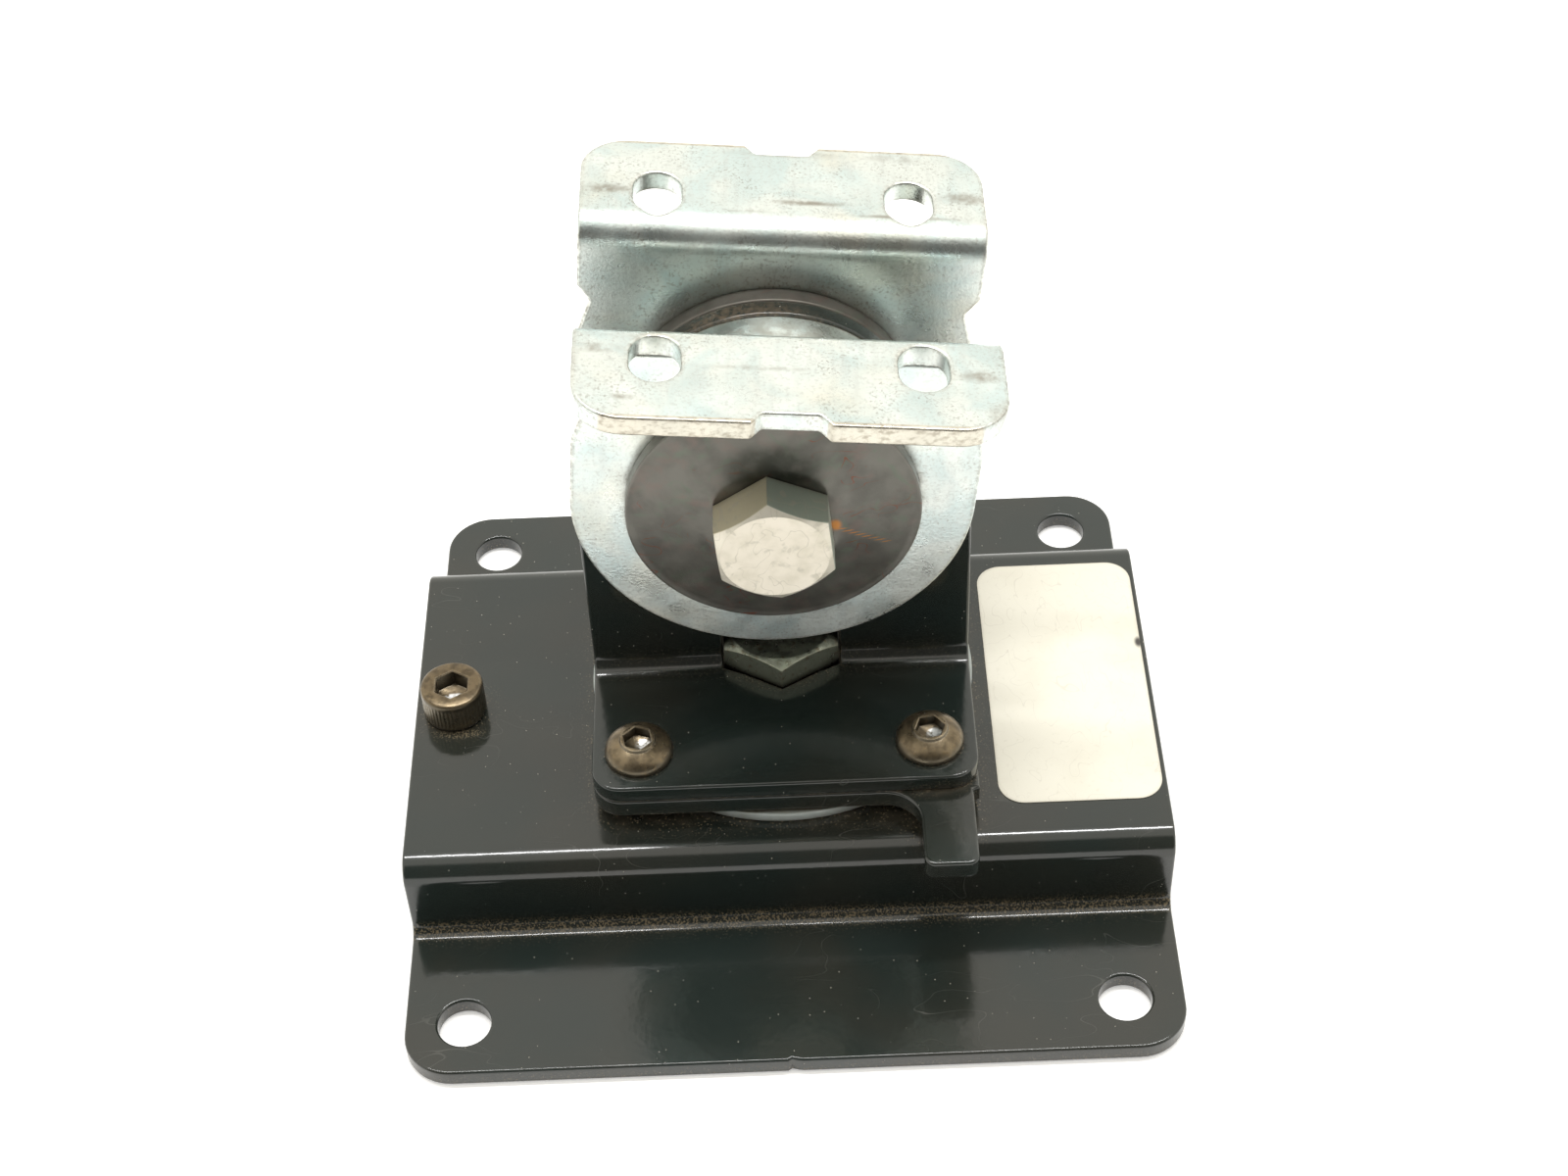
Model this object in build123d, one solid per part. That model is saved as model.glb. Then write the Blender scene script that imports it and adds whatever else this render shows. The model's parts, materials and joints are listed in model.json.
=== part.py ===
from build123d import *
import os
from math import sqrt

# Swivel and tilt bracket head. Millimetres, +Z up.
# The origin is on the underside of the base plate, at the middle of its hole square.
# X runs along the ridge of the base plate, the tilt bolt lies along Y.

# base plate: one pressed sheet with a raised ridge along X
plate_side = 118.0
plate_corner_r = 7.5
base_sheet = 3.0
mount_spacing = 100.0
mount_hole_d = 8.1
ridge_width = 65.0
ridge_rise = 15.0
ridge_crown_r = 4.0
ridge_foot_r = 2.1

# blank sticker on the ridge
label_length = 50.8
label_width = 25.4
label_thickness = 0.15
label_corner_r = 4.0
label_edge_gap = 0.8
label_y = 1.5

# stop screw and its nut
stop_screw_x = -52.6
stop_screw_d = 6.0
stop_screw_length = 10.0
stop_head_d = 10.0
stop_head_height = 6.0
stop_socket_af = 5.0
stop_nut_af = 10.0
stop_nut_height = 5.2

# swivel stack on the pivot bolt
pivot_y = 4.8
pivot_bolt_d = 12.0
pivot_bolt_length = 20.0
pivot_head_af = 18.0
pivot_head_height = 7.5
upper_washer_d = 61.0
upper_washer_thickness = 1.7
shim_d = 56.0
shim_thickness = 0.5
lower_washer_d = 40.0
lower_washer_thickness = 1.5
pressure_washer_d = 38.0
pressure_washer_thickness = 1.5
swivel_spring_d = 25.0
swivel_spring_sheet = 0.6
swivel_spring_rise = 0.2
pivot_nut_af = 18.0
pivot_nut_height = 6.0

# stop plate with its leg
stop_plate_sheet = 3.4
stop_plate_depth = 60.0
stop_leg_width = 8.2
stop_leg_inset = 1.0
stop_leg_reach = 14.2
stop_leg_tip_r = 1.6
stop_leg_root_r = 5.5

# yoke: two angle brackets, foot outwards, ears upwards
yoke_width = 59.0
yoke_sheet = 3.0
yoke_bend_r = 2.8
yoke_corner_r = 4.5
ear_top_r = 21.5
ear_straight = 27.4
window_headroom = 1.4
yoke_screw_d = 6.0
yoke_screw_spacing = 44.6
yoke_screw_from_edge = 7.4
yoke_screw_head_d = 10.5
yoke_screw_head_height = 3.3
yoke_screw_socket_af = 4.0

# tilt head: two cheeks on the tilt bolt
tilt_axis_height = 67.0
tilt_plane_y = 7.1
tilt_at_rest = 6.0
tilt_bolt_d = 10.0
tilt_head_af = 16.5
tilt_head_height = 6.8
tilt_head_turn = 10.5
tilt_nut_af = 16.0
tilt_nut_height = 10.0
tilt_bolt_past_nut = 1.5
spacer_thickness = 7.7
spacer_d = 42.4
friction_washer_d = 43.0
friction_washer_thickness = 2.9
cap_washer_d = 43.0
cap_washer_thickness = 2.4
cap_dish_rise = 1.9
cap_dish_flat_d = 20.0
cap_dish_rim = 1.0
tilt_spring_d = 23.0
tilt_spring_sheet = 0.8
tilt_spring_rise = 0.3
cheek_width = 59.0
cheek_sheet = 3.2
cheek_bend_r = 1.5
flange_height = 31.4
flange_reach = 17.5
flange_corner_r = 7.0
slot_width = 7.0
slot_length = 9.2
slot_spacing = 36.5
notch_open = 10.8
notch_floor = 7.8
notch_depth = 2.0
bite_depth = 1.9
bite_lead = 2.8
bite_length = 9.8
bite_below_flange = 11.0
bite_corner_r = 1.0

# clearances
running_gap = 0.1
through_gap = 0.25
thread_gap = 0.05
window_gap = 0.2
socket_depth_share = 0.5
head_chamfer_share = 0.06

# heights of the swivel stack, from the base plate upwards
flange_top = base_sheet
ridge_top = base_sheet + ridge_rise
ridge_underside = ridge_rise
stop_plate_bottom = ridge_top + upper_washer_thickness + shim_thickness
foot_bottom = stop_plate_bottom + stop_plate_sheet
foot_top = foot_bottom + yoke_sheet
pivot_head_top = foot_bottom + pivot_head_height
plate_front_y = pivot_y - stop_plate_depth / 2
plate_rear_y = pivot_y + stop_plate_depth / 2

# stack of the tilt bolt, from the middle plane outwards
ear_inner = spacer_thickness / 2
ear_outer = ear_inner + yoke_sheet
cheek_inner = ear_outer + friction_washer_thickness
cheek_outer = cheek_inner + cheek_sheet
cap_outer = cheek_outer + cap_washer_thickness
tilt_spring_pair = 2 * (tilt_spring_sheet + tilt_spring_rise)
swivel_spring_pair = 2 * (swivel_spring_sheet + swivel_spring_rise)


def ring(outer_d, bore_d, thickness):
    """Flat washer standing on z = 0."""
    face = Circle(outer_d / 2) - Circle(bore_d / 2)
    return extrude(face, thickness)


def hexagon(across_flats, height):
    """Hexagonal prism on z = 0, one corner towards -Y."""
    outline = RegularPolygon(across_flats / 2, 6, major_radius=False, rotation=30)
    return extrude(outline, height)


def turned_blank(across_flats, height, both_ends):
    """Round blank whose chamfers trim the corners of a hex head or nut."""
    corner_r = across_flats / sqrt(3)
    drop = across_flats * head_chamfer_share
    blank = Pos(0, 0, height / 2) * Cylinder(corner_r, height)
    rims = blank.edges().filter_by(GeomType.CIRCLE).sort_by(Axis.Z)
    chosen = rims if both_ends else rims[-1:]
    return chamfer(chosen, drop, drop * sqrt(3))


def hex_bolt(d, length, across_flats, head_height):
    """Hex bolt: seat of the head on z = 0, head upwards, shank downwards."""
    head = hexagon(across_flats, head_height) & turned_blank(across_flats, head_height, False)
    shank = Pos(0, 0, -length / 2) * Cylinder(d / 2, length)
    tip = shank.edges().filter_by(GeomType.CIRCLE).sort_by(Axis.Z)[0]
    return head + chamfer(tip, d * 0.08)


def hex_nut(d, across_flats, height):
    """Hex nut standing on z = 0."""
    body = hexagon(across_flats, height) & turned_blank(across_flats, height, True)
    return body - Pos(0, 0, height / 2) * Cylinder(d / 2 + thread_gap, height)


def socket(across_flats, depth, top):
    """Hexagonal key socket, cut downwards from z = top."""
    return Pos(0, 0, top - depth) * hexagon(across_flats, depth)


def cap_screw(d, length, head_d, head_height, socket_af):
    """Socket cap screw: seat on z = 0."""
    head = Pos(0, 0, head_height / 2) * Cylinder(head_d / 2, head_height)
    head = chamfer(head.edges().filter_by(GeomType.CIRCLE).sort_by(Axis.Z)[-1], d * 0.08)
    shank = Pos(0, 0, -length / 2) * Cylinder(d / 2, length)
    return head + shank - socket(socket_af, head_height * socket_depth_share, head_height)


def button_screw(d, length, head_d, head_height, socket_af):
    """Button head screw: seat on z = 0, domed head."""
    crown_r = head_d * 0.27
    side = ThreePointArc(
        (head_d / 2, head_height * 0.12),
        (head_d * 0.42, head_height * 0.66),
        (crown_r, head_height),
    )
    outline = Polyline((crown_r, head_height), (0, head_height), (0, 0), (head_d / 2, 0),
                       (head_d / 2, head_height * 0.12))
    head = revolve(Plane.XZ * make_face(side + outline), Axis.Z)
    shank = Pos(0, 0, -length / 2) * Cylinder(d / 2, length)
    return head + shank - socket(socket_af, head_height * socket_depth_share, head_height)


def disc_springs(outer_d, bore_d, sheet, rise):
    """Two conical spring washers, rim to rim, standing on z = 0."""
    half = sheet + rise
    section = Polygon((bore_d / 2, 0), (outer_d / 2, rise), (outer_d / 2, half), (bore_d / 2, sheet), align=None)
    lower = revolve(Plane.XZ * section, Axis.Z)
    upper = mirror(lower, Plane.XY.offset(half))
    return [lower, upper]


def dished_cap(outer_d, bore_d, sheet, rise):
    """Cap disc with its middle raised above its rim: the middle is on z = 0, the rim above it."""
    bore_r = bore_d / 2
    flat_r = cap_dish_flat_d / 2
    rim_r = outer_d / 2 - cap_dish_rim
    section = Polygon(
        (bore_r, 0), (flat_r, 0), (rim_r, rise), (outer_d / 2, rise), (outer_d / 2, rise + sheet),
        (rim_r, rise + sheet), (flat_r, sheet), (bore_r, sheet), align=None)
    return revolve(Plane.XZ * section, Axis.Z)


def bent_sheet(points, inner_corner, inner_r, outer_corner, outer_r, width):
    """Angle section in the YZ plane, its two bend corners rounded, centred on x = 0."""
    face = Polygon(*points, align=None)
    for corner, radius in ((inner_corner, inner_r), (outer_corner, outer_r)):
        at = face.vertices().sort_by_distance((corner[0], corner[1], 0))[0]
        face = fillet(at, radius)
    return extrude(Plane.YZ * face, width / 2, both=True)


def base_plate():
    """Hat-section plate: two flanges, two walls and the ridge, with its holes."""
    half = plate_side / 2
    wall = ridge_width / 2
    section = Polygon(
        (-half, 0), (-half, flange_top), (-wall, flange_top), (-wall, ridge_top),
        (wall, ridge_top), (wall, flange_top), (half, flange_top), (half, 0),
        (wall - base_sheet, 0), (wall - base_sheet, ridge_underside),
        (base_sheet - wall, ridge_underside), (base_sheet - wall, 0), align=None)
    rounds = (
        (wall, flange_top, ridge_foot_r),
        (wall - base_sheet, 0, ridge_foot_r + base_sheet),
        (wall, ridge_top, ridge_crown_r),
        (wall - base_sheet, ridge_underside, ridge_crown_r - base_sheet),
    )
    for y, z, radius in rounds:
        for side in (-1, 1):
            corner = section.vertices().sort_by_distance((side * y, z, 0))[0]
            section = fillet(corner, radius)
    sheet = extrude(Plane.YZ * section, half, both=True)
    plan = extrude(RectangleRounded(plate_side, plate_side, plate_corner_r), ridge_top + base_sheet)
    holes = [Pos(x, y, 0) * Cylinder(mount_hole_d / 2, 4 * base_sheet)
             for x, y in square(mount_spacing, mount_spacing)]
    pivot_hole = Pos(0, pivot_y, ridge_top) * Cylinder(pivot_bolt_d / 2 + running_gap, 4 * base_sheet)
    stop_hole = Pos(stop_screw_x, 0, ridge_top) * Cylinder(stop_screw_d / 2 + through_gap, 4 * base_sheet)
    return (sheet & plan) - holes - pivot_hole - stop_hole


def square(spacing_x, spacing_y):
    """The four corners of a hole pattern."""
    return [(sx * spacing_x / 2, sy * spacing_y / 2) for sx in (-1, 1) for sy in (-1, 1)]


def label():
    """Blank sticker at the right-hand end of the ridge."""
    x = plate_side / 2 - label_edge_gap - label_width / 2
    outline = RectangleRounded(label_width, label_length, label_corner_r)
    return Pos(x, label_y, ridge_top) * extrude(outline, label_thickness)


def yoke_screw_places():
    """Front pair and rear pair, set in from the front and rear edges of the feet."""
    return [(sx * yoke_screw_spacing / 2, y)
            for y in (plate_front_y + yoke_screw_from_edge, plate_rear_y - yoke_screw_from_edge)
            for sx in (-1, 1)]


def stop_plate():
    """Square sheet under the yoke, with the leg that meets the stop screw."""
    half = yoke_width / 2
    outer_x = half - stop_leg_inset
    inner_x = outer_x - stop_leg_width
    tip_y = plate_front_y - stop_leg_reach
    outline = Polygon(
        (-half, plate_front_y), (inner_x, plate_front_y), (inner_x, tip_y), (outer_x, tip_y),
        (outer_x, plate_front_y), (half, plate_front_y), (half, plate_rear_y), (-half, plate_rear_y),
        align=None)
    rounds = (
        (-half, plate_front_y, yoke_corner_r),
        (-half, plate_rear_y, yoke_corner_r),
        (half, plate_rear_y, yoke_corner_r),
        (inner_x, plate_front_y, stop_leg_root_r),
        (inner_x, tip_y, stop_leg_tip_r),
        (outer_x, tip_y, stop_leg_tip_r),
    )
    for x, y, radius in rounds:
        corner = outline.vertices().sort_by_distance((x, y, 0))[0]
        outline = fillet(corner, radius)
    sheet = extrude(outline, stop_plate_sheet)
    tapped = [Pos(x, y, 0) * Cylinder(yoke_screw_d / 2 + thread_gap, 4 * stop_plate_sheet)
              for x, y in yoke_screw_places()]
    bore = Pos(0, pivot_y, 0) * Cylinder(pivot_bolt_d / 2 + through_gap, 4 * stop_plate_sheet)
    return Pos(0, 0, stop_plate_bottom) * (sheet - tapped - bore)


def yoke_angle(side, foot_edge_y):
    """Angle bracket: side -1 is the front one, +1 the rear one."""
    face_y = tilt_plane_y + side * ear_outer
    back_y = tilt_plane_y + side * ear_inner
    ear_top = tilt_axis_height + ear_top_r
    angle = bent_sheet(
        [(foot_edge_y, foot_bottom), (foot_edge_y, foot_top), (face_y, foot_top), (face_y, ear_top),
         (back_y, ear_top), (back_y, foot_bottom)],
        (face_y, foot_top), yoke_bend_r, (back_y, foot_bottom), yoke_bend_r + yoke_sheet, yoke_width)
    ends = angle.edges().filter_by(Axis.Z).group_by(Axis.Y)
    angle = fillet(ends[0] if side < 0 else ends[-1], yoke_corner_r)
    shoulder = foot_top + ear_straight
    base = Pos(0, (foot_bottom + shoulder) / 2) * Rectangle(yoke_width, shoulder - foot_bottom)
    crown = Pos(0, tilt_axis_height) * Circle(ear_top_r)
    outline = make_hull(base.edges() + crown.edges())
    angle = angle & extrude(Plane.XZ * outline, plate_side, both=True)
    hex_hole = Pos(0, pivot_y, foot_bottom) * hexagon(pivot_head_af + 2 * window_gap, 2 * yoke_sheet)
    window_top = pivot_head_top + window_headroom
    window = Pos(0, tilt_plane_y, (foot_bottom + window_top) / 2) * Box(
        pivot_head_af + 2 * window_gap, 2 * ear_outer, window_top - foot_bottom)
    screw_holes = [Pos(x, y, foot_bottom) * Cylinder(yoke_screw_d / 2 + through_gap, 4 * yoke_sheet)
                   for x, y in yoke_screw_places()]
    bore = Pos(0, tilt_plane_y, tilt_axis_height) * Rot(90, 0, 0) * Cylinder(
        tilt_bolt_d / 2 + running_gap, 4 * ear_outer)
    return angle - hex_hole - window - screw_holes - bore


def side_bite(sx, half):
    """Dip in the side edge of a cheek: steep at its top, with a long run-out below."""
    deepest = (sx * (half - bite_depth), flange_height - bite_below_flange - bite_lead)
    run_out = bite_length - bite_lead
    dip = Polygon(
        deepest, (sx * (half + bite_depth), deepest[1] + 2 * bite_lead),
        (sx * (half + bite_depth), deepest[1] - 2 * run_out), align=None)
    at = dip.vertices().sort_by_distance((*deepest, 0))[0]
    return fillet(at, bite_corner_r)


def cheek(side):
    """Clamp cheek with its flange, about the tilt axis: side -1 front, +1 rear."""
    half = cheek_width / 2
    inner = side * cheek_inner
    outer = side * cheek_outer
    edge = side * (cheek_outer + flange_reach)
    under = flange_height - cheek_sheet
    angle = bent_sheet(
        [(inner, -half), (inner, flange_height), (edge, flange_height), (edge, under), (outer, under),
         (outer, -half)],
        (outer, under), cheek_bend_r, (inner, flange_height), cheek_bend_r + cheek_sheet, cheek_width)
    ends = angle.edges().filter_by(Axis.Z).group_by(Axis.Y)
    angle = fillet(ends[0] if side < 0 else ends[-1], flange_corner_r)
    profile = Circle(half) + Pos(0, flange_height / 2) * Rectangle(cheek_width, flange_height)
    profile -= [side_bite(sx, half) for sx in (-1, 1)]
    angle = angle & extrude(Plane.XZ * profile, plate_side, both=True)
    slot = SlotOverall(slot_length, slot_width, rotation=90)
    slots = [Pos(sx * slot_spacing / 2, side * slot_spacing / 2, under) * extrude(slot, 2 * cheek_sheet, both=True)
             for sx in (-1, 1)]
    notch_face = Polygon(
        (-notch_open / 2, edge + side), (-notch_open / 2, edge), (-notch_floor / 2, edge - side * notch_depth),
        (notch_floor / 2, edge - side * notch_depth), (notch_open / 2, edge), (notch_open / 2, edge + side),
        align=None)
    notch = Pos(0, 0, under) * extrude(notch_face, 2 * cheek_sheet, both=True)
    bore = Rot(90, 0, 0) * Cylinder(tilt_bolt_d / 2 + through_gap, 4 * cheek_outer)
    return lean(angle - slots - notch - bore)


def lean(shape):
    """From the tilt head's own upright frame to its place, leaning about the tilt axis."""
    return Pos(0, tilt_plane_y, tilt_axis_height) * Rot(0, tilt_at_rest, 0) * shape


def along_tilt_bolt(shape, start):
    """Lay a turned piece along the tilt bolt, its z = 0 at start, pointing to the rear."""
    return lean(Pos(0, start, 0) * Rot(-90, 0, 0) * shape)


def on_pivot(shape, z):
    """Set a turned piece on the pivot axis at height z."""
    return Pos(0, pivot_y, z) * shape


swivel_bore = pivot_bolt_d + 2 * through_gap
tilt_bore = tilt_bolt_d + 2 * through_gap
tilt_running_bore = tilt_bolt_d + 2 * running_gap
lower_washer_bottom = ridge_underside - lower_washer_thickness
pressure_washer_bottom = lower_washer_bottom - pressure_washer_thickness
swivel_springs_bottom = pressure_washer_bottom - swivel_spring_pair
tilt_nut_start = cap_outer + tilt_spring_pair
tilt_bolt_seat = cap_outer + cap_dish_rise
tilt_bolt_length = tilt_bolt_seat + tilt_nut_start + tilt_nut_height + tilt_bolt_past_nut

tilt_bolt = hex_bolt(tilt_bolt_d, tilt_bolt_length, tilt_head_af, tilt_head_height)
yoke_screw = button_screw(yoke_screw_d, yoke_sheet + stop_plate_sheet, yoke_screw_head_d,
                          yoke_screw_head_height, yoke_screw_socket_af)
nodes = {
    "base_plate": base_plate(),
    "label": label(),
    "stop_screw": Pos(stop_screw_x, 0, ridge_top) * cap_screw(
        stop_screw_d, stop_screw_length, stop_head_d, stop_head_height, stop_socket_af),
    "stop_nut": Pos(stop_screw_x, 0, ridge_underside - stop_nut_height) * hex_nut(
        stop_screw_d, stop_nut_af, stop_nut_height),
    "swivel_washer_upper": on_pivot(
        ring(upper_washer_d, pivot_bolt_d + 2 * running_gap, upper_washer_thickness), ridge_top),
    "swivel_shim": on_pivot(
        ring(shim_d, swivel_bore, shim_thickness), ridge_top + upper_washer_thickness),
    "stop_plate": stop_plate(),
    "yoke_front": yoke_angle(-1, plate_front_y),
    "yoke_rear": yoke_angle(1, plate_rear_y),
    "yoke_screws": [Pos(x, y, foot_top) * yoke_screw for x, y in yoke_screw_places()],
    "pivot_bolt": on_pivot(
        hex_bolt(pivot_bolt_d, pivot_bolt_length, pivot_head_af, pivot_head_height), foot_bottom),
    "swivel_washer_lower": on_pivot(
        ring(lower_washer_d, swivel_bore, lower_washer_thickness), lower_washer_bottom),
    "pressure_washer": on_pivot(
        ring(pressure_washer_d, swivel_bore, pressure_washer_thickness), pressure_washer_bottom),
    "swivel_springs": [on_pivot(spring, swivel_springs_bottom) for spring in disc_springs(
        swivel_spring_d, swivel_bore, swivel_spring_sheet, swivel_spring_rise)],
    "pivot_nut": on_pivot(
        hex_nut(pivot_bolt_d, pivot_nut_af, pivot_nut_height), swivel_springs_bottom - pivot_nut_height),
    "tilt_spacer": along_tilt_bolt(ring(spacer_d, tilt_running_bore, spacer_thickness), -ear_inner),
    "front_friction_washer": along_tilt_bolt(
        ring(friction_washer_d, tilt_running_bore, friction_washer_thickness), -cheek_inner),
    "rear_friction_washer": along_tilt_bolt(
        ring(friction_washer_d, tilt_running_bore, friction_washer_thickness), ear_outer),
    "front_cheek": cheek(-1),
    "rear_cheek": cheek(1),
    "front_cap_washer": along_tilt_bolt(
        dished_cap(cap_washer_d, tilt_bore, cap_washer_thickness, cap_dish_rise), -tilt_bolt_seat),
    "rear_cap_washer": along_tilt_bolt(ring(cap_washer_d, tilt_bore, cap_washer_thickness), cheek_outer),
    "tilt_bolt": lean(Pos(0, -tilt_bolt_seat, 0) * Rot(90, 0, 0) * Rot(0, 0, tilt_head_turn) * tilt_bolt),
    "tilt_springs": [along_tilt_bolt(spring, cap_outer) for spring in disc_springs(
        tilt_spring_d, tilt_bore, tilt_spring_sheet, tilt_spring_rise)],
    "tilt_nut": along_tilt_bolt(hex_nut(tilt_bolt_d, tilt_nut_af, tilt_nut_height), tilt_nut_start),
}

os.makedirs("parts", exist_ok=True)
for name, shape in nodes.items():
    if isinstance(shape, list):
        shape = Compound(children=shape)
    export_step(shape, f"parts/{name}.step")
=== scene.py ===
import json
from math import atan2, ceil, cos, hypot, pi, radians, sin, sqrt, tan
import bmesh
import bpy
from mathutils import Matrix, Vector


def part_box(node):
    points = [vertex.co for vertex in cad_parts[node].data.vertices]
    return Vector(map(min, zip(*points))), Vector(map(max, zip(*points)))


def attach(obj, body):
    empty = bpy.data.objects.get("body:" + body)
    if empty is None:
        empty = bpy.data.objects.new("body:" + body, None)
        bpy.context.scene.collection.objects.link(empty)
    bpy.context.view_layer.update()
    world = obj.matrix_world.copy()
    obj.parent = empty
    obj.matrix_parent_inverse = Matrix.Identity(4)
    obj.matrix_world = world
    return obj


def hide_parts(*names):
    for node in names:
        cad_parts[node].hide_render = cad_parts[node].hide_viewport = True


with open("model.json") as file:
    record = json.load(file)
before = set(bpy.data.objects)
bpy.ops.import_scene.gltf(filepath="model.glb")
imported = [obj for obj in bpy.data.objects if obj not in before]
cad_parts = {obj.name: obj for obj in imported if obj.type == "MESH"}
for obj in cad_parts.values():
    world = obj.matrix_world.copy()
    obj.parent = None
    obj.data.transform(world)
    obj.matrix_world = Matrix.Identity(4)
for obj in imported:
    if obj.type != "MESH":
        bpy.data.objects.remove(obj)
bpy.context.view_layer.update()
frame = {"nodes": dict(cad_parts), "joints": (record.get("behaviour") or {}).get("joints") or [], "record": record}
scene = bpy.context.scene

# ---- Camera --------------------------------------------------------------
# A 59 mm lens in front of the plate and above it. It looks down at 46
# degrees, and is turned a few degrees on its side.
camera = bpy.data.objects.new("camera", bpy.data.cameras.new("camera"))
camera.data.sensor_width = 36
camera.data.lens = 59.30
camera.data.clip_start = 0.01
camera.matrix_world = (
    Matrix.Translation((0.00361, -0.27488, 0.32826))
    @ Matrix.Rotation(radians(0.56), 4, "Z")
    @ Matrix.Rotation(radians(90 - 46.06), 4, "X")
    @ Matrix.Rotation(radians(-2.71), 4, "Z")
)
scene.collection.objects.link(camera)
scene.camera = camera
scene.view_settings.view_transform = "Standard"


# ---- Base plate ----------------------------------------------------------
# One 3 mm steel blank, cut to shape and folded four times, so that a ridge
# stands 15 mm above two flanges. It is powder coated black, and four screws
# through the corner holes hold it to the wall or arm.
def rounded(corners, fineness=9):
    """Goes round a list of corners (x, y, radius), and gives the points of the rounded outline."""
    path = []
    for i, (x, y, radius) in enumerate(corners):
        here = Vector((x, y))
        if not radius:
            path.append(here)
            continue
        back = (Vector(corners[i - 1][:2]) - here).normalized()
        ahead = (Vector(corners[(i + 1) % len(corners)][:2]) - here).normalized()
        half = back.angle(ahead) / 2
        centre = here + (back + ahead).normalized() * radius / sin(half)
        first = here + back * radius / tan(half) - centre
        last = here + ahead * radius / tan(half) - centre
        start = atan2(first.y, first.x)
        turn = (atan2(last.y, last.x) - start + pi) % (2 * pi) - pi
        steps = max(2, ceil(abs(turn) / radians(fineness)))
        for k in range(steps + 1):
            angle = start + turn * k / steps
            path.append(centre + radius * Vector((cos(angle), sin(angle))))
    return path


def round_hole(x, y, d, steps=44):
    """The outline of a drilled hole."""
    return [Vector((x + d / 2 * cos(a), y + d / 2 * sin(a)))
            for a in (2 * pi * k / steps for k in range(steps))]


def set_in(path, step):
    """Moves an outline to the left of the way it runs, which is into the steel."""
    moved = []
    for i, point in enumerate(path):
        came = (point - path[i - 1]).normalized()
        goes = (path[(i + 1) % len(path)] - point).normalized()
        left = Vector((-came.y - goes.y, came.x + goes.x)).normalized()
        moved.append(point + left * step / max(0.5, left.dot(Vector((-came.y, came.x)))))
    return moved


def cut_blank(outline, holes, sheet, ease):
    """Cuts a flat blank, from z = 0 up to the sheet's thickness, with every edge eased round."""
    blank = bmesh.new()
    rows = [(ease * (1 - sin(a)), ease * (1 - cos(a))) for a in (0, pi / 6, pi / 3, pi / 2)]
    rows += [(step, sheet - z) for step, z in reversed(rows)]
    rims = ([], [])
    for path in [outline] + [hole[::-1] for hole in holes]:
        rings = [[blank.verts.new((p.x, p.y, z)) for p in set_in(path, step)]
                 for step, z in rows]
        count = len(path)
        for low, high in zip(rings, rings[1:]):
            for i in range(count):
                blank.faces.new((low[i], low[(i + 1) % count], high[(i + 1) % count], high[i]))
        for rim, ring in zip(rims, (rings[0], rings[-1])):
            rim += [blank.edges.get((ring[i], ring[(i + 1) % count])) for i in range(count)]
    for rim in rims:
        bmesh.ops.triangle_fill(blank, use_beauty=True, edges=rim, normal=(0, 0, 1))
    return blank


fold_step = radians(7.5)


def fold(blank, sheet, start, heading, runs):
    """Folds a blank along its Y. runs lists (length, turn) of the sheet's middle line: a flat has
    no turn, and an arc turns upwards by so much. start and heading are in the Y, Z plane."""
    stretches, s = [], 0.0
    at, way = Vector(start), Vector(heading)
    for length, turn in runs:
        stretches.append((s, length, turn, at.copy(), way.copy()))
        if turn:
            cuts = ceil(abs(turn) / fold_step)
            for k in range(cuts + 1):
                everything = blank.verts[:] + blank.edges[:] + blank.faces[:]
                bmesh.ops.bisect_plane(blank, geom=everything, plane_no=(0, 1, 0),
                                       plane_co=(0, s + length * k / cuts, 0))
        at, way = along(length, length, turn, at, way)
        s += length
    for v in blank.verts:
        on = [row for row in stretches if row[0] <= v.co.y] or stretches
        s, length, turn, at, way = on[-1] if v.co.y >= 0 else stretches[0]
        spot, way = along(v.co.y - s, length, turn, at, way)
        spot = spot + Vector((-way.y, way.x)) * (v.co.z - sheet / 2)
        v.co = (v.co.x, spot.x, spot.y)
    return blank


def along(gone, length, turn, at, way):
    """Where the middle line is, and which way it heads, after going some way along a stretch."""
    if not turn:
        return at + way * gone, way
    radius, angle = length / turn, turn * gone / length
    left = Vector((-way.y, way.x))
    spun = Matrix.Rotation(angle, 2)
    return at + left * radius - (spun @ left) * radius, spun @ way


def made_of(name, form, finish, place=Matrix(), crease=34):
    """Turns a finished form into a piece of its own, with clean shading on flats and curves."""
    mesh = bpy.data.meshes.new(name)
    bmesh.ops.recalc_face_normals(form, faces=form.faces[:])
    form.transform(place)
    form.to_mesh(mesh)
    form.free()
    mesh.materials.append(finish)
    mesh.shade_smooth()
    mesh.set_sharp_from_angle(angle=radians(crease))
    piece = bpy.data.objects.new(name, mesh)
    scene.collection.objects.link(piece)
    even = piece.modifiers.new("even_shading", "WEIGHTED_NORMAL")
    even.keep_sharp = True
    even.weight = 90
    return piece


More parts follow.
